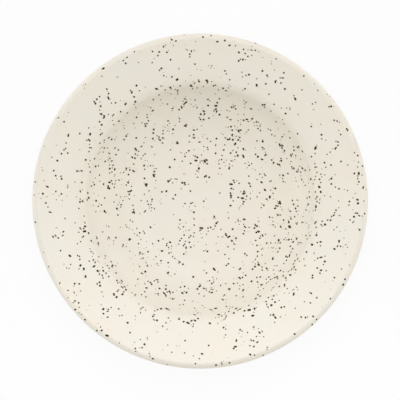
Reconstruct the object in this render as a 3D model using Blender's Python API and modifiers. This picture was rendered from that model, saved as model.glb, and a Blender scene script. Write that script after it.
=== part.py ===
"""Soup plate: a deep plate with a broad rim, formed in one piece of stoneware.

The fired body carries three coats of glaze: one on the face, one on the back and one in the
recess inside the foot ring.  The foot ring is left bare where it stands on the table.

Everything is turned about Z, with the origin on the table below the middle of the plate.
The body's outline is a chain of stations.  It starts on the axis, crosses the face, rounds the
lip and comes back along the underside, so that "out from the surface" is always to its left.
Each coat of glaze is a stretch of that same outline, raised off the body.
"""

import math
from typing import NamedTuple

import bpy

# Heights of the body, stacked from the table up, in metres
FOOT_HEIGHT = 0.0035
FLOOR_THICKNESS = 0.0045
WELL_DEPTH = 0.0200
RIM_RISE = 0.0094

# Diameters and widths
FLOOR_DIAMETER = 0.080
WELL_DIAMETER = 0.158
RIM_WIDTH = 0.036
FOOT_DIAMETER = 0.112
FOOT_WIDTH = 0.0046

# The wall and its curves
WALL_THICKNESS = 0.0036
BREAK_RADIUS = 0.009
SHOULDER_SLOPE = math.radians(14)
LIP_SLOPE = math.radians(12)
LIP_REACH = 0.0030

# Roundings of the foot ring
FOOT_FILLET = 0.0040
FOOT_EDGE_RADIUS = 0.0008
RECESS_FILLET = 0.0014
BARE_FOOT_HEIGHT = 0.0014

# Glaze, and the gap that keeps each coat clear of the body and of the next coat
GLAZE_THICKNESS = 0.0004
SEAT_GAP = 0.0003

# Facets round the plate, and along the curves of its outline
TURN_STEPS = 56
WELL_STEPS = 9
BACK_STEPS = 7
BREAK_STEPS = 3
RIM_STEPS = 4
HALF_LIP_STEPS = 3
FILLET_STEPS = 3
EDGE_STEPS = 2

MERGE_DISTANCE = 0.00001
QUARTER_TURN = math.pi / 2
HALF_TURN = math.pi

# Sizes that follow from those above
COAT = SEAT_GAP + GLAZE_THICKNESS
FLOOR_RADIUS = FLOOR_DIAMETER / 2
WELL_RADIUS = WELL_DIAMETER / 2
LIP_RADIUS = WELL_RADIUS + RIM_WIDTH - COAT
FOOT_OUTER_RADIUS = FOOT_DIAMETER / 2
FOOT_INNER_RADIUS = FOOT_OUTER_RADIUS - FOOT_WIDTH
FLOOR_LEVEL = FOOT_HEIGHT + FLOOR_THICKNESS
LIP_LEVEL = FLOOR_LEVEL + WELL_DEPTH + RIM_RISE

# The well is an arc that leaves the flat floor level and steepens until the break
WELL_RUN = WELL_RADIUS - FLOOR_RADIUS
WALL_SLOPE = 2 * math.atan2(WELL_DEPTH, WELL_RUN)
WELL_ARC_RADIUS = WELL_RUN / math.sin(WALL_SLOPE)
WELL_ARC_CENTRE = (FLOOR_RADIUS, FLOOR_LEVEL + WELL_ARC_RADIUS)


class Station(NamedTuple):
    """A point of the outline, and the heading in which the outline passes through it."""

    r: float
    z: float
    heading: float

    def raised(self, height):
        """The point that stands this far out from the surface."""
        return (
            self.r - height * math.sin(self.heading),
            self.z + height * math.cos(self.heading),
        )


def shares(steps):
    """Evenly spaced shares of a stretch, both ends included."""
    return [step / steps for step in range(steps + 1)]


def arc(centre, radius, start, end, steps):
    """Stations on a round stretch.  A positive radius turns left, which is hollow, a negative one right."""
    headings = [start + (end - start) * share for share in shares(steps)]
    return [
        Station(
            centre[0] + radius * math.sin(heading),
            centre[1] - radius * math.cos(heading),
            heading,
        )
        for heading in headings
    ]


def well():
    """The face from the middle of the floor to the steepest part of the wall."""
    middle = Station(0, FLOOR_LEVEL, 0)
    return [middle] + arc(WELL_ARC_CENTRE, WELL_ARC_RADIUS, 0, WALL_SLOPE, WELL_STEPS)


def rim_break(wall_top):
    """The round shoulder where the wall of the well turns over into the rim."""
    centre = wall_top.raised(-BREAK_RADIUS)
    return arc(centre, -BREAK_RADIUS, WALL_SLOPE, SHOULDER_SLOPE, BREAK_STEPS)[1:]


def lip_middle():
    """Where the middle of the rim's thickness meets the rounded lip."""
    half = WALL_THICKNESS / 2
    across = math.hypot(LIP_REACH * math.cos(LIP_SLOPE), half * math.sin(LIP_SLOPE))
    above = math.hypot(LIP_REACH * math.sin(LIP_SLOPE), half * math.cos(LIP_SLOPE))
    return Station(LIP_RADIUS - across, LIP_LEVEL - above, LIP_SLOPE)


def lip_station(turn):
    """A station on the half-oval lip, from turn 0 on the face to a half turn on the back."""
    half = WALL_THICKNESS / 2
    along, up = LIP_REACH * math.sin(turn), half * math.cos(turn)
    middle = lip_middle()
    heading = LIP_SLOPE + math.atan2(-half * math.sin(turn), LIP_REACH * math.cos(turn))
    return Station(
        middle.r + along * math.cos(LIP_SLOPE) - up * math.sin(LIP_SLOPE),
        middle.z + along * math.sin(LIP_SLOPE) + up * math.cos(LIP_SLOPE),
        heading,
    )


def rim(shoulder, lip_start):
    """The broad rim: a cubic curve that leaves the shoulder and meets the lip on their slopes."""
    reach = math.hypot(lip_start.r - shoulder.r, lip_start.z - shoulder.z) / 3
    points = (
        (shoulder.r, shoulder.z),
        (
            shoulder.r + reach * math.cos(shoulder.heading),
            shoulder.z + reach * math.sin(shoulder.heading),
        ),
        (
            lip_start.r - reach * math.cos(lip_start.heading),
            lip_start.z - reach * math.sin(lip_start.heading),
        ),
        (lip_start.r, lip_start.z),
    )
    stations = []
    for share in shares(RIM_STEPS)[1:-1]:
        rest = 1 - share
        weights = (rest**3, 3 * rest**2 * share, 3 * rest * share**2, share**3)
        pulls = (-(rest**2), rest**2 - 2 * rest * share, 2 * rest * share - share**2, share**2)
        r, z = (sum(w * p[axis] for w, p in zip(weights, points)) for axis in (0, 1))
        along, up = (sum(w * p[axis] for w, p in zip(pulls, points)) for axis in (0, 1))
        stations.append(Station(r, z, math.atan2(up, along)))
    return stations


def underside(face):
    """The back of a stretch of the face, one wall thickness below it and running the other way."""
    return [
        Station(*station.raised(-WALL_THICKNESS), station.heading - HALF_TURN)
        for station in reversed(face)
    ]


def foot_fillet():
    """The hollow curve between the back of the well and the outer side of the foot ring."""
    reach = WELL_ARC_RADIUS + WALL_THICKNESS + FOOT_FILLET
    across = FOOT_OUTER_RADIUS + FOOT_FILLET - FLOOR_RADIUS
    slope = math.asin(across / reach)
    centre = (
        FOOT_OUTER_RADIUS + FOOT_FILLET,
        WELL_ARC_CENTRE[1] - reach * math.cos(slope),
    )
    return arc(centre, FOOT_FILLET, slope - HALF_TURN, -QUARTER_TURN, FILLET_STEPS)


def back_of_well(foot_slope):
    """The underside of the well's wall, from just past the break to the foot's fillet."""
    radius = WELL_ARC_RADIUS + WALL_THICKNESS
    stations = arc(
        WELL_ARC_CENTRE, -radius, WALL_SLOPE - HALF_TURN, foot_slope, BACK_STEPS
    )
    return stations[1:-1]


def bare_foot():
    """The foot ring from glaze line to glaze line: down its outer side, across the flat and up inside."""
    round_corner = -FOOT_EDGE_RADIUS
    outer = (FOOT_OUTER_RADIUS - FOOT_EDGE_RADIUS, FOOT_EDGE_RADIUS)
    inner = (FOOT_INNER_RADIUS + FOOT_EDGE_RADIUS, FOOT_EDGE_RADIUS)
    return arc(outer, round_corner, -QUARTER_TURN, -HALF_TURN, EDGE_STEPS) + arc(
        inner, round_corner, -HALF_TURN, -HALF_TURN - QUARTER_TURN, EDGE_STEPS
    )


def recess():
    """The inner side of the foot ring above the glaze line, its fillet and the flat ceiling."""
    centre = (FOOT_INNER_RADIUS - RECESS_FILLET, FOOT_HEIGHT - RECESS_FILLET)
    glaze_line = Station(FOOT_INNER_RADIUS, BARE_FOOT_HEIGHT, -HALF_TURN - QUARTER_TURN)
    fillet = arc(
        centre, RECESS_FILLET, -HALF_TURN - QUARTER_TURN, -HALF_TURN, FILLET_STEPS
    )
    return [glaze_line] + fillet + [Station(0, FOOT_HEIGHT, -HALF_TURN)]


def lip(start, end):
    """Stations round part of the lip."""
    return [lip_station(start + (end - start) * share) for share in shares(HALF_LIP_STEPS)]


def glaze_profile(stations):
    """The section of a coat of glaze over a stretch of the outline."""
    outer = [station.raised(COAT) for station in stations]
    inner = [station.raised(SEAT_GAP) for station in reversed(stations)]
    ends_on_axis = stations[-1].r == 0
    return inner + outer if ends_on_axis else outer + inner


def material(name, colour, roughness):
    """A non-metallic ceramic finish."""
    made = bpy.data.materials.new(name)
    made.use_nodes = True
    shader = made.node_tree.nodes["Principled BSDF"]
    shader.inputs["Base Color"].default_value = (*colour, 1)
    shader.inputs["Roughness"].default_value = roughness
    shader.inputs["Metallic"].default_value = 0
    return made


def turned(name, profile, finish, collection):
    """A solid of revolution about Z.  A section that starts off the axis is closed into a ring."""
    links = [(i, i + 1) for i in range(len(profile) - 1)]
    if profile[0][0] > 0:
        links.append((len(profile) - 1, 0))
    mesh = bpy.data.meshes.new(name)
    mesh.from_pydata([(r, 0, z) for r, z in profile], links, [])
    mesh.materials.append(finish)
    made = bpy.data.objects.new(name, mesh)
    collection.objects.link(made)
    screw = made.modifiers.new("turn", "SCREW")
    screw.axis = "Z"
    screw.angle = 2 * math.pi
    screw.steps = screw.render_steps = TURN_STEPS
    screw.use_merge_vertices = True
    screw.merge_threshold = MERGE_DISTANCE
    screw.use_smooth_shade = True
    return made


def main():
    for old in list(bpy.data.objects):
        bpy.data.objects.remove(old)
    plate = bpy.data.collections.new("soup_plate")
    bpy.context.scene.collection.children.link(plate)

    bare_stoneware = material("bare_stoneware", (0.74, 0.66, 0.54), 0.8)
    speckled_cream = material("speckled_cream_glaze", (0.84, 0.77, 0.67), 0.25)
    plain_cream = material("plain_cream_glaze", (0.84, 0.77, 0.67), 0.25)

    well_face = well()
    break_face = rim_break(well_face[-1])
    rim_face = rim(break_face[-1], lip_station(0))
    lip_face = lip(0, QUARTER_TURN)
    fillet = foot_fillet()
    foot_side = [Station(FOOT_OUTER_RADIUS, BARE_FOOT_HEIGHT, -QUARTER_TURN)]

    # The two coats part at the outermost line of the lip, with the seat gap between them
    gap_turn = QUARTER_TURN + SEAT_GAP / (WALL_THICKNESS / 2)
    lip_back = lip(gap_turn, HALF_TURN)
    face = well_face + break_face + rim_face + lip_face
    back = (
        lip_back
        + underside(rim_face)
        + underside([well_face[-1]] + break_face)
        + back_of_well(fillet[0].heading)
        + fillet
        + foot_side
    )
    outline = face + back + bare_foot() + recess()

    body_profile = [station.raised(0) for station in outline]
    turned("ceramic_body", body_profile, bare_stoneware, plate)
    turned("face_glaze", glaze_profile(face), speckled_cream, plate)
    turned("back_glaze", glaze_profile(back), plain_cream, plate)
    turned("recess_glaze", glaze_profile(recess()), plain_cream, plate)


main()
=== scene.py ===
"""A speckled stoneware soup plate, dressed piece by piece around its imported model."""

import math

import bmesh
import bpy
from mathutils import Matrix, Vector


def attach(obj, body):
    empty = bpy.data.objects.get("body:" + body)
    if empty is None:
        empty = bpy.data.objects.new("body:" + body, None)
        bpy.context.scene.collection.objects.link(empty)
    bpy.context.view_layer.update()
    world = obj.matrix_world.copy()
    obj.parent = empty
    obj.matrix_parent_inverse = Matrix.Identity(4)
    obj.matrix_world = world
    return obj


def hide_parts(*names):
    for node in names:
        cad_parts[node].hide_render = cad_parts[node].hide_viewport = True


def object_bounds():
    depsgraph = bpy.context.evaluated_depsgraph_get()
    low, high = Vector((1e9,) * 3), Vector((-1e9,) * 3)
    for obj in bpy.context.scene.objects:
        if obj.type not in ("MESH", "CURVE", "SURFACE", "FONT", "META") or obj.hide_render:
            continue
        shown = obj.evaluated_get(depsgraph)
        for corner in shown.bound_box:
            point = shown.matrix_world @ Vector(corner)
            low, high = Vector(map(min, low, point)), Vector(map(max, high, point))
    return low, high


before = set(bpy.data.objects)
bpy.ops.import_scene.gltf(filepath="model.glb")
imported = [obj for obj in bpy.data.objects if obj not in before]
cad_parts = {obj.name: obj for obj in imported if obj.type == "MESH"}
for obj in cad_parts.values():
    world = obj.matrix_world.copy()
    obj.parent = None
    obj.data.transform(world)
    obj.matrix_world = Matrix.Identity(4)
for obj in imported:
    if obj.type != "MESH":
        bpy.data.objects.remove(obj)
cad_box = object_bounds()


# The stoneware body.  Floor, well, rim and foot ring are one piece of buff clay, pressed over a
# former and turned to this section on a wheel.  It shows only on the foot ring, which is wiped
# clean of glaze before firing so that it doesn't stick to the kiln shelf.
MM = 0.001
PLATE_RADIUS = cad_box[1].x
FLOOR_LEVEL = 8.0 * MM
FLOOR_RADIUS = 40.0 * MM
WELL_RADIUS = 79.0 * MM
WELL_DEPTH = 20.0 * MM
WALL = 3.6 * MM
COAT = 0.7 * MM
BREAK_RADIUS = 9.0 * MM
SHOULDER_SLOPE = math.radians(14)
RIM_SLOPE = math.radians(10.6)
RIM_FLATTEST = 98.5 * MM
LIP_SLOPE = math.radians(13.5)
LIP_SHOULDER_TURN = math.radians(32)
LIP_SHOULDER_RADIUS = 1.8 * MM
LIP_FLANK_TURN = math.radians(30)
LIP_FLANK_RADIUS = 4.9 * MM
LIP_TIP_RADIUS = 0.5 * MM
FOOT_RADIUS = 56.0 * MM
FOOT_WIDTH = 4.6 * MM
FOOT_HEIGHT = 3.5 * MM
FOOT_FILLET = 4.0 * MM
FOOT_EDGE = 0.8 * MM
RECESS_FILLET = 1.4 * MM
RIM_WARP = 0.25 * MM
WARP_BEARING = math.radians(35)
FACETS_ROUND = 192
FACET_TURN = math.radians(4)
FACET_LENGTH = 2.0 * MM
MERGE_DISTANCE = 0.002 * MM
SHARP_ANGLE = math.radians(45)
QUARTER_TURN = math.pi / 2

wall_run = WELL_RADIUS - FLOOR_RADIUS
wall_slope = 2 * math.atan2(WELL_DEPTH, wall_run)
well_arc = wall_run / math.sin(wall_slope)
break_end = WELL_RADIUS + BREAK_RADIUS * (math.sin(wall_slope) - math.sin(SHOULDER_SLOPE))
lip_bends = (
    (LIP_SHOULDER_TURN, LIP_SHOULDER_RADIUS),
    (LIP_FLANK_TURN, LIP_FLANK_RADIUS),
    (QUARTER_TURN + LIP_SLOPE - LIP_SHOULDER_TURN - LIP_FLANK_TURN, LIP_TIP_RADIUS),
)
lip_reach = lip_drop = 0.0
heading = LIP_SLOPE
for turn, radius in lip_bends:
    lip_reach += radius * (math.sin(heading) - math.sin(heading - turn))
    lip_drop += radius * (math.cos(heading) - math.cos(heading - turn))
    heading -= turn
lip_slack = WALL - lip_reach * math.sin(LIP_SLOPE) - lip_drop * math.cos(LIP_SLOPE)
lip_under = lip_slack / (1 - math.sin(LIP_SLOPE))
lip_run = (lip_reach - lip_under) * math.cos(LIP_SLOPE) - lip_drop * math.sin(LIP_SLOPE)
lip_start = PLATE_RADIUS - COAT - lip_reach
rim_crown = (RIM_FLATTEST - break_end) / (math.sin(SHOULDER_SLOPE) - math.sin(RIM_SLOPE))
rim_hollow = (lip_start - RIM_FLATTEST) / (math.sin(LIP_SLOPE) - math.sin(RIM_SLOPE))
fillet_reach = well_arc + WALL + FOOT_FILLET
foot_slope = math.asin((FOOT_RADIUS + FOOT_FILLET - FLOOR_RADIUS) / fillet_reach)
foot_inside = FOOT_RADIUS - FOOT_WIDTH


class Template:
    """A turner's template: an outline beside the Z axis, drawn with the air on its left.

    Radii of bends are the clay's.  Raised off the clay, a hollow bend is tighter and a round one
    wider.
    """

    def __init__(self, radius, level, heading, raised=0.0):
        self.mesh = bmesh.new()
        self.travelled = self.mesh.verts.layers.float.new("travelled")
        self.length = 0.0
        self.tip = self.mesh.verts.new((radius, 0, level))
        self.heading = heading
        self.raised = raised

    def arrive(self, vert, length):
        """Goes on from a new point, noting how far the outline has come."""
        self.length += length
        self.tip = vert
        self.tip[self.travelled] = self.length

    def run(self, length):
        """Draws a straight stretch."""
        ahead = Vector((math.cos(self.heading), 0, math.sin(self.heading)))
        made = bmesh.ops.extrude_vert_indiv(self.mesh, verts=[self.tip])
        bmesh.ops.translate(self.mesh, verts=made["verts"], vec=ahead * length)
        self.arrive(made["verts"][0], length)

    def bend(self, turn, radius):
        """Draws an arc, to the left and hollow if its turn is positive, or else round."""
        side = math.copysign(1, turn)
        reach = radius - side * self.raised
        left = Vector((-math.sin(self.heading), 0, math.cos(self.heading)))
        centre = self.tip.co + left * side * reach
        facets = math.ceil(abs(turn) * max(1 / FACET_TURN, reach / FACET_LENGTH))
        for _ in range(facets):
            made = bmesh.ops.spin(
                self.mesh,
                geom=[self.tip],
                cent=centre,
                axis=(0, -1, 0),
                angle=turn / facets,
                steps=1,
            )
            self.arrive(made["geom_last"][0], abs(turn) / facets * reach)
        self.heading += turn

    def turned(self, facing):
        """Spins the outline about Z, facing up if that is 1 and down if it is -1."""
        mesh = self.mesh
        bmesh.ops.spin(
            mesh,
            geom=mesh.verts[:] + mesh.edges[:],
            cent=(0, 0, 0),
            axis=(0, 0, 1),
            angle=2 * math.pi,
            steps=FACETS_ROUND,
            use_merge=True,
        )
        bmesh.ops.remove_doubles(mesh, verts=mesh.verts, dist=MERGE_DISTANCE)
        bmesh.ops.recalc_face_normals(mesh, faces=mesh.faces)
        if facing * sum(face.normal.z * face.calc_area() for face in mesh.faces) < 0:
            bmesh.ops.reverse_faces(mesh, faces=mesh.faces)
        return mesh


def draw_face(pen):
    """From the middle of the floor over the well and the rim to the lip's outermost line."""
    pen.run(FLOOR_RADIUS)
    pen.bend(wall_slope, well_arc)
    pen.bend(SHOULDER_SLOPE - wall_slope, BREAK_RADIUS)
    pen.bend(RIM_SLOPE - SHOULDER_SLOPE, rim_crown)
    pen.bend(LIP_SLOPE - RIM_SLOPE, rim_hollow)
    for turn, radius in lip_bends:
        pen.bend(-turn, radius)


def draw_back(pen):
    """From the lip's outermost line under the rim and the well to the foot ring's outer side."""
    pen.bend(LIP_SLOPE - QUARTER_TURN, lip_under)
    pen.run(lip_run)
    pen.bend(RIM_SLOPE - LIP_SLOPE, rim_hollow + WALL)
    pen.bend(SHOULDER_SLOPE - RIM_SLOPE, rim_crown - WALL)
    pen.bend(wall_slope - SHOULDER_SLOPE, BREAK_RADIUS - WALL)
    pen.bend(foot_slope - wall_slope, well_arc + WALL)
    pen.bend(QUARTER_TURN - foot_slope, FOOT_FILLET)


def draw_foot(pen):
    """Down the foot ring's outer side, across its flat and up to the recess."""
    pen.run(pen.tip.co.z - FOOT_EDGE)
    pen.bend(-QUARTER_TURN, FOOT_EDGE)
    pen.run(FOOT_WIDTH - 2 * FOOT_EDGE)
    pen.bend(-QUARTER_TURN, FOOT_EDGE)
    pen.run(FOOT_HEIGHT - RECESS_FILLET - FOOT_EDGE)


def draw_recess(pen):
    """Round the recess's corner and along its ceiling to the axis."""
    pen.bend(QUARTER_TURN, RECESS_FILLET)
    pen.run(pen.tip.co.x)


def sag(mesh):
    """Lets the rim out of true by a hair, as it settles in the kiln."""
    for vert in mesh.verts:
        bearing = math.atan2(vert.co.y, vert.co.x)
        outward = max(0, vert.co.xy.length - FOOT_RADIUS) / (PLATE_RADIUS - FOOT_RADIUS)
        vert.co.z += RIM_WARP * outward**2 * math.sin(2 * bearing + WARP_BEARING)


def fired(name, mesh, finish):
    """Makes an object of a finished mesh, which moves with the plate."""
    sag(mesh)
    data = bpy.data.meshes.new(name)
    mesh.to_mesh(data)
    mesh.free()
    data.shade_smooth()
    data.set_sharp_from_angle(angle=SHARP_ANGLE)
    data.materials.append(finish)
    piece = bpy.data.objects.new(name, data)
    bpy.context.scene.collection.objects.link(piece)
    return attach(piece, "root")


class Signal:
    """A value, vector or colour in a finish's node tree.  Arithmetic on values adds Math nodes."""

    def __init__(self, tree, socket):
        self.tree = tree
        self.socket = socket

    def node(self, kind, settings, sockets, output=0):
        """Adds a node, makes its settings, fills its sockets and returns one of its outputs."""
        made = self.tree.nodes.new(kind)
        for name, value in settings.items():
            setattr(made, name, value)
        self.feed(made, sockets)
        return Signal(self.tree, made.outputs[output])

    def feed(self, node, sockets):
        """Fills a node's sockets with values or signals."""
        for name, value in sockets.items():
            if isinstance(value, Signal):
                self.tree.links.new(value.socket, node.inputs[name])
            else:
                node.inputs[name].default_value = value

    def beside(self, output):
        """Another output of the node that this signal comes from."""
        return Signal(self.tree, self.socket.node.outputs[output])

    def maths(self, operation, *values):
        """Maths on values."""
        return self.node("ShaderNodeMath", {"operation": operation}, dict(enumerate(values)))

    def __add__(self, other):
        return self.maths("ADD", self, other)

    def __sub__(self, other):
        return self.maths("SUBTRACT", self, other)

    def __mul__(self, other):
        return self.maths("MULTIPLY", self, other)

    def __truediv__(self, other):
        return self.maths("DIVIDE", self, other)

    def __pow__(self, other):
        return self.maths("POWER", self, other)

    def __lt__(self, other):
        return self.maths("LESS_THAN", self, other)

    def __gt__(self, other):
        return self.maths("GREATER_THAN", self, other)

    def __rsub__(self, other):
        return self.maths("SUBTRACT", other, self)

    def __rtruediv__(self, other):
        return self.maths("DIVIDE", other, self)

    __radd__ = __add__
    __rmul__ = __mul__

    def or_more(self, other):
        """The greater of two values."""
        return self.maths("MAXIMUM", self, other)

    def eased(self, start, end):
        """Goes smoothly from 0 to 1 as this value goes from start to end."""
        return self.node(
            "ShaderNodeMapRange",
            {"interpolation_type": "SMOOTHSTEP"},
            {"Value": self, "From Min": start, "From Max": end},
        )

    def vectors(self, operation, *values, output=0):
        """Vector maths on this vector and others."""
        sockets = dict(enumerate((self, *values)))
        return self.node("ShaderNodeVectorMath", {"operation": operation}, sockets, output)

    def scaled(self, factor):
        """This vector, made longer by a value."""
        return self.node("ShaderNodeVectorMath", {"operation": "SCALE"}, {0: self, "Scale": factor})

    def length(self):
        """How long this vector is."""
        return self.vectors("LENGTH", output="Value")

    def axes(self):
        """The three numbers of this vector."""
        parts = self.node("ShaderNodeSeparateXYZ", {}, {0: self})
        return parts, parts.beside(1), parts.beside(2)

    def outward(self):
        """How far this place is from the plate's axis."""
        across, along, _ = self.axes()
        return (across * across + along * along) ** 0.5

    def blend(self, ground, figure):
        """Lays one colour over another where this value is 1."""
        return self.node("ShaderNodeMix", {"data_type": "RGBA"}, {0: self, 6: ground, 7: figure}, 2)

    def clouds(self, size, detail=2.0, rough=0.5):
        """Soft noise with shapes of about this size at the places of this vector."""
        return self.node(
            "ShaderNodeTexNoise",
            {},
            {"Vector": self, "Scale": 1 / size, "Detail": detail, "Roughness": rough},
        )


def new_finish(name):
    """A new material, its shader, and the place on the object as a signal in metres."""
    material = bpy.data.materials.new(name)
    material.use_nodes = True
    tree = material.node_tree
    shader = tree.nodes["Principled BSDF"]
    places = tree.nodes.new("ShaderNodeTexCoord")
    return material, shader, Signal(tree, places.outputs["Object"])


BUFF_CLAY = (0.62, 0.49, 0.35, 1)
PALE_GROG = (0.74, 0.64, 0.50, 1)
TOASTED_CLAY = (0.50, 0.31, 0.17, 1)
# The pores' dark colour is painted shade in their tiny pits.
PORE_SHADE = (0.22, 0.15, 0.09, 1)
GLAZE_LINE = 1.3 * MM
TURNING_MARK = 0.35 * MM
GROG_SIZE = 0.6 * MM
PORE_SPACING = 1.7 * MM
TOAST_WIDTH = 0.9 * MM
TOAST_PATCH = 4.0 * MM
CLAY_RELIEF = 0.08 * MM

bare_stoneware, shader, place = new_finish("bare_stoneware")
_, _, up = place.axes()
outward = place.outward()
turning = outward.node("ShaderNodeCombineXYZ", {}, {0: outward, 2: up}).clouds(TURNING_MARK, 3.0)
grog = place.clouds(GROG_SIZE, 3.0, 0.7)
pores = place.node("ShaderNodeTexVoronoi", {}, {"Vector": place, "Scale": 1 / PORE_SPACING})
pore = 1 - pores.eased(0.10, 0.17)
patches = place.clouds(TOAST_PATCH).eased(0.3, 0.7)
toast = up.eased(GLAZE_LINE - TOAST_WIDTH, GLAZE_LINE) * patches
clay = grog.eased(0.35, 0.7).blend(BUFF_CLAY, PALE_GROG)
clay = (toast * 0.7).blend(clay, TOASTED_CLAY)
# Painted shade: the pores are coloured dark, as if shaded inside their pits.
clay = pore.blend(clay, PORE_SHADE)
relief = turning * 0.5 + grog * 0.5 - pore
bump = place.node(
    "ShaderNodeBump", {}, {"Strength": 0.6, "Distance": CLAY_RELIEF, "Height": relief}
)
place.feed(shader, {"Base Color": clay, "Roughness": 0.78 + grog * 0.15, "Normal": bump})

pen = Template(0, FLOOR_LEVEL, 0)
draw_face(pen)
draw_back(pen)
draw_foot(pen)
draw_recess(pen)
body = fired("stoneware_body", pen.turned(1), bare_stoneware)
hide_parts("ceramic_body")


# The face glaze.  A warm white glaze poured over the floor, well and rim as far as the lip's
# outermost line.  Iron grit stirred into it melts out as dark specks with rusty edges, in loose
# streaks and clusters.  The glaze runs thin over the lip, which keeps few of them.
GLAZE_THICKNESS = 0.4 * MM
CREAM = (0.825, 0.785, 0.685, 1)
WARM_CREAM = (0.835, 0.785, 0.670, 1)
IRON = (0.012, 0.006, 0.001, 1)
RUST = (0.45, 0.27, 0.03, 1)
GRAIN_SPACING = 3.12 * MM
SMALLEST_GRAIN = 0.42 * MM
LARGEST_GRAIN = 0.76 * MM
GRAIN_STRETCH = 1.1
RAGGED_SIZE = 1.1 * MM
RAGGED_REACH = 0.35 * MM
GRIT_SEEDS = (0.11, 0.23, 0.37)
DUST_SEED = 0.53
DUST_FINENESS = 1.8
DUST_SHARE = 0.25
DUST_DARKNESS = 0.8
STREAK_WIDTH = 6.5 * MM
GRIT_PATCH = 45.0 * MM
SPARSE_FROM = 8.0 * MM
BARE_LIP = 2.5 * MM
CREAM_DRIFT = 28.0 * MM
SKIN_PIT = 1.3 * MM
SKIN_SWELL = 11.0 * MM
SKIN_RELIEF = 0.05 * MM
MAP_REACH = 0.495
CORNER_PLACE = 0.075
CORNER_REACH = 0.07


def coated(name, pen, facing, axis_at, finish):
    """Spins a coat's outer side and thickens it inwards.

    Its bake map is round, with the axis in the middle and the hidden inner side small in a corner.
    """
    mesh = pen.turned(facing)
    outer = set(mesh.faces)
    bmesh.ops.solidify(mesh, geom=mesh.faces[:], thickness=GLAZE_THICKNESS)
    bake_map = mesh.loops.layers.uv.new("OFBake")
    furthest = max(axis_at, pen.length - axis_at)
    for face in mesh.faces:
        middle, reach = (0.5, MAP_REACH) if face in outer else (CORNER_PLACE, CORNER_REACH)
        for loop in face.loops:
            out = reach * abs(loop.vert[pen.travelled] - axis_at) / furthest
            bearing = math.atan2(loop.vert.co.y, loop.vert.co.x)
            loop[bake_map].uv = (middle + out * math.cos(bearing), middle + out * math.sin(bearing))
    return fired(name, mesh, finish)


def iron_specks(place, seed, fineness, crowding):
    """One strewing of iron grains through the glaze: how dark they make the skin that cuts them.

    The grains shrink and draw together by the fineness.  Crowding gives the share of them that are
    there at a place.
    """
    shift = Vector((1, 1.7, 2.3)) * seed
    moved = place.vectors("ADD", shift)
    density = fineness / GRAIN_SPACING
    cell = moved.node("ShaderNodeTexVoronoi", {}, {"Vector": moved, "Scale": density})
    chance = cell.beside("Color")
    more_chance = chance.node("ShaderNodeTexWhiteNoise", {}, {"Vector": chance}, "Color")
    present, bearing, _ = chance.axes()
    girth, stretch, _ = more_chance.axes()
    radius = (girth * (LARGEST_GRAIN - SMALLEST_GRAIN) + SMALLEST_GRAIN) / fineness
    middle = cell.beside("Position")
    away = moved.vectors("SUBTRACT", middle)
    turn = bearing * (2 * math.pi)
    lie = turn.node(
        "ShaderNodeCombineXYZ", {}, {0: turn.maths("COSINE", turn), 1: turn.maths("SINE", turn)}
    )
    reach = radius * stretch**8 * GRAIN_STRETCH
    slid = away.vectors("DOT_PRODUCT", lie, output="Value")
    slid = slid.maths("MAXIMUM", slid.maths("MINIMUM", slid, reach), reach * -1)
    near = away.vectors("SUBTRACT", lie.scaled(slid)).length()
    speck = 1 - (near / radius).eased(0.8, 1.2)
    return speck * (present < crowding(middle.vectors("SUBTRACT", shift)))


def glaze_grain(place, shader, specks):
    """The glaze's own colour, gloss and skin, with specks in it."""
    drift = place.clouds(CREAM_DRIFT)
    cream = drift.eased(0.3, 0.7).blend(CREAM, WARM_CREAM)
    stained = (specks.eased(0.0, 0.4) * 0.8).blend(cream, RUST)
    colour = specks.eased(0.35, 0.7).blend(stained, IRON)
    skin = place.clouds(SKIN_PIT, 1.0) * 0.25 + place.clouds(SKIN_SWELL, 1.0) * 2.0
    bump = place.node(
        "ShaderNodeBump", {}, {"Strength": 0.5, "Distance": SKIN_RELIEF, "Height": skin}
    )
    gloss = drift * 0.08 + specks * 0.12 + 0.30
    place.feed(
        shader,
        {"Base Color": colour, "Roughness": gloss, "Normal": bump, "Specular IOR Level": 0.3},
    )


def streaks(place):
    """Grit lies in loose streaks along the pour, closer in the well and sparse on the rim."""
    outward = place.outward()
    fine = place.vectors("MULTIPLY", (1, 0.5, 1)).clouds(STREAK_WIDTH, 3.0, 0.75)
    broad = place.clouds(GRIT_PATCH)
    settled = 1.2 - outward.eased(WELL_RADIUS, break_end + SPARSE_FROM) * 0.55
    kept = 1 - outward.eased(PLATE_RADIUS - BARE_LIP, PLATE_RADIUS) * 0.9
    return (fine * 0.86 + broad * 0.14).eased(0.455, 0.61) * settled * kept


def all_iron(place, crowding):
    """Three strewings of grit and one of dust, with ragged edges."""
    ragged = place.clouds(RAGGED_SIZE).beside("Color").vectors("SUBTRACT", (0.5, 0.5, 0.5))
    warped = place.vectors("ADD", ragged.scaled(RAGGED_REACH))
    dust = iron_specks(warped, DUST_SEED, DUST_FINENESS, lambda spot: crowding(spot) * DUST_SHARE)
    specks = dust * DUST_DARKNESS
    for seed in GRIT_SEEDS:
        specks = specks.or_more(iron_specks(warped, seed, 1, crowding))
    return specks


speckled_cream, shader, place = new_finish("speckled_cream_glaze")
glaze_grain(place, shader, all_iron(place, streaks))

pen = Template(0, FLOOR_LEVEL + COAT, 0, raised=COAT)
draw_face(pen)
lip_level = pen.tip.co.z
face = coated("face_glaze_coat", pen, 1, 0, speckled_cream)
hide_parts("face_glaze")


# The back glaze.  The same glaze from the lip's outermost line down to the foot ring, where it is
# wiped back and ends in a round bead.  Only the grit that was carried under the rim is in it.
STRAY_REACH = 24.0 * MM


def strays(place):
    """The grit thins out under the rim, from the lip inwards."""
    return streaks(place) * place.outward().eased(PLATE_RADIUS - STRAY_REACH, PLATE_RADIUS)


back_cream, shader, place = new_finish("back_cream_glaze")
glaze_grain(place, shader, all_iron(place, strays))

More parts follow.
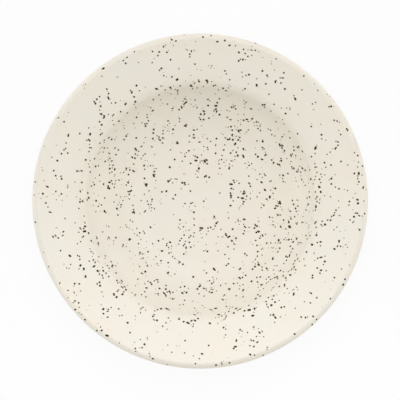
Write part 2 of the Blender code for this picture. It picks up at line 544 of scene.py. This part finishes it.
pen = Template(PLATE_RADIUS, lip_level, -QUARTER_TURN, raised=COAT)
draw_back(pen)
pen.run(pen.tip.co.z - GLAZE_LINE - COAT)
pen.bend(-QUARTER_TURN, 0)
back = coated("back_glaze_coat", pen, -1, pen.length + FOOT_RADIUS, back_cream)
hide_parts("back_glaze")


# The recess glaze.  A thin wash of the same glaze, brushed on inside the foot ring with hardly any
# grit, and wiped back to a bead at the bare clay.
RECESS_SEED = 0.61
RECESS_SHARE = 0.02

recess_cream, shader, place = new_finish("recess_cream_glaze")
glaze_grain(place, shader, iron_specks(place, RECESS_SEED, 1, lambda spot: RECESS_SHARE))

pen = Template(foot_inside, GLAZE_LINE, math.pi, raised=COAT)
pen.bend(-QUARTER_TURN, 0)
pen.run(FOOT_HEIGHT - RECESS_FILLET - pen.tip.co.z)
draw_recess(pen)
recess = coated("recess_glaze_coat", pen, -1, pen.length, recess_cream)
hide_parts("recess_glaze")


# The table: a plain white sheet.  The camera and mirror rays see it mostly white of its own, and
# the rest of what they see takes the plate's shadow.
TABLE_RADIUS = 1.5
TABLE_WHITE = (0.9, 0.9, 0.9, 1)
TABLE_OWN_WHITE = 0.9
SHEET_GRAIN = 3.0 * MM


def seen(path):
    """1 on the rays of the camera, mirrors and glass, and 0 on those that only carry light."""
    return path.or_more(path.beside("Is Glossy Ray")).or_more(path.beside("Is Transmission Ray"))


sheet, shader, place = new_finish("white_sheet")
path = place.node("ShaderNodeLightPath", {}, {}, "Is Camera Ray")
grain = place.clouds(SHEET_GRAIN)
place.feed(shader, {"Base Color": TABLE_WHITE, "Roughness": grain * 0.1 + 0.85})
white = place.node("ShaderNodeEmission", {}, {"Strength": 1.0})
lit = Signal(place.tree, shader.outputs["BSDF"])
shown = place.node("ShaderNodeMixShader", {}, {0: seen(path) * TABLE_OWN_WHITE, 1: lit, 2: white})
place.feed(place.tree.nodes["Material Output"], {"Surface": shown})

mesh = bmesh.new()
bmesh.ops.create_circle(mesh, cap_ends=True, radius=TABLE_RADIUS, segments=96)
data = bpy.data.meshes.new("table")
mesh.to_mesh(data)
mesh.free()
data.materials.append(sheet)
table = bpy.data.objects.new("table", data)
bpy.context.scene.collection.objects.link(table)


# The light: a dim room with a warm fill, a soft lamp overhead and one high beyond the plate, five
# low ones beside and behind it, and two small ones close in front that lift the near rim.
ROOM_LEVEL = 0.31
WARM_FILL = (1, 0.98, 0.8, 1)
WHITE = (1, 1, 1, 1)
LAMP_WHITE = (1, 1, 1.1)
LAMP_DISTANCE = 1.3
LOW_LAMP_WATTS = {0: 2.25, 45: 2.4, 90: 0.9, 135: 2.4, 180: 2.25}
NEAR_RIM = Vector((71.0, -91.0, 30.0)) * MM

world = bpy.data.worlds.new("white_room")
world.use_nodes = True
bpy.context.scene.world = world
rays = world.node_tree.nodes.new("ShaderNodeLightPath")
path = Signal(world.node_tree, rays.outputs["Is Camera Ray"])
direct = seen(path)
colour = direct.blend(WARM_FILL, WHITE)
strength = direct * (1 - ROOM_LEVEL) + ROOM_LEVEL
path.feed(world.node_tree.nodes["Background"], {"Color": colour, "Strength": strength})


def soft_lamp(name, bearing, elevation, width, watts, distance=LAMP_DISTANCE, aim=(0, 0, 0)):
    """A square softbox that faces its aim.

    Its bearing, anticlockwise from +X, and its elevation are in degrees.
    """
    turn = math.radians(bearing)
    height = math.radians(elevation)
    outward = Vector((math.cos(turn), math.sin(turn), 0)) * math.cos(height)
    data = bpy.data.lights.new(name, "AREA")
    data.shape = "SQUARE"
    data.size = width
    data.energy = watts
    data.color = LAMP_WHITE
    lamp = bpy.data.objects.new(name, data)
    away = distance * (outward + Vector((0, 0, math.sin(height))))
    lamp.location = Vector(aim) + away
    lamp.rotation_euler = (-away).to_track_quat("-Z", "Y").to_euler()
    lamp.visible_camera = False
    bpy.context.scene.collection.objects.link(lamp)


soft_lamp("overhead_lamp", 90, 89.9, width=1.0, watts=4.3)
soft_lamp("high_lamp", 90, 65, width=0.9, watts=4.65)
for bearing, watts in LOW_LAMP_WATTS.items():
    soft_lamp(f"low_lamp_{bearing}", bearing, 12, width=0.55, watts=watts)
for name, side, bearing in (("near_left_lamp", -1, 232), ("near_right_lamp", 1, 308)):
    spot = NEAR_RIM * Vector((side, 1, 1))
    soft_lamp(name, bearing, 50, width=0.2, watts=0.09, distance=0.2, aim=spot)


# The camera, high above the plate and a hair in front of it.  Its square frame is a little wider
# than the plate.
CAMERA_ELEVATION = math.radians(87)
CAMERA_DISTANCE = 1.2
SENSOR_MILLIMETRES = 36.0
FRAME_WIDTH = 275.4 * MM
AIM = Vector((-0.1, 0.45, 30.0)) * MM

data = bpy.data.cameras.new("camera")
data.sensor_width = SENSOR_MILLIMETRES
data.lens = SENSOR_MILLIMETRES * CAMERA_DISTANCE / FRAME_WIDTH
camera = bpy.data.objects.new("camera", data)
away = Vector((0, -math.cos(CAMERA_ELEVATION), math.sin(CAMERA_ELEVATION)))
camera.location = AIM + CAMERA_DISTANCE * away
camera.rotation_euler = (QUARTER_TURN - CAMERA_ELEVATION, 0, 0)
bpy.context.scene.collection.objects.link(camera)
bpy.context.scene.camera = camera
bpy.context.scene.view_settings.view_transform = "Standard"
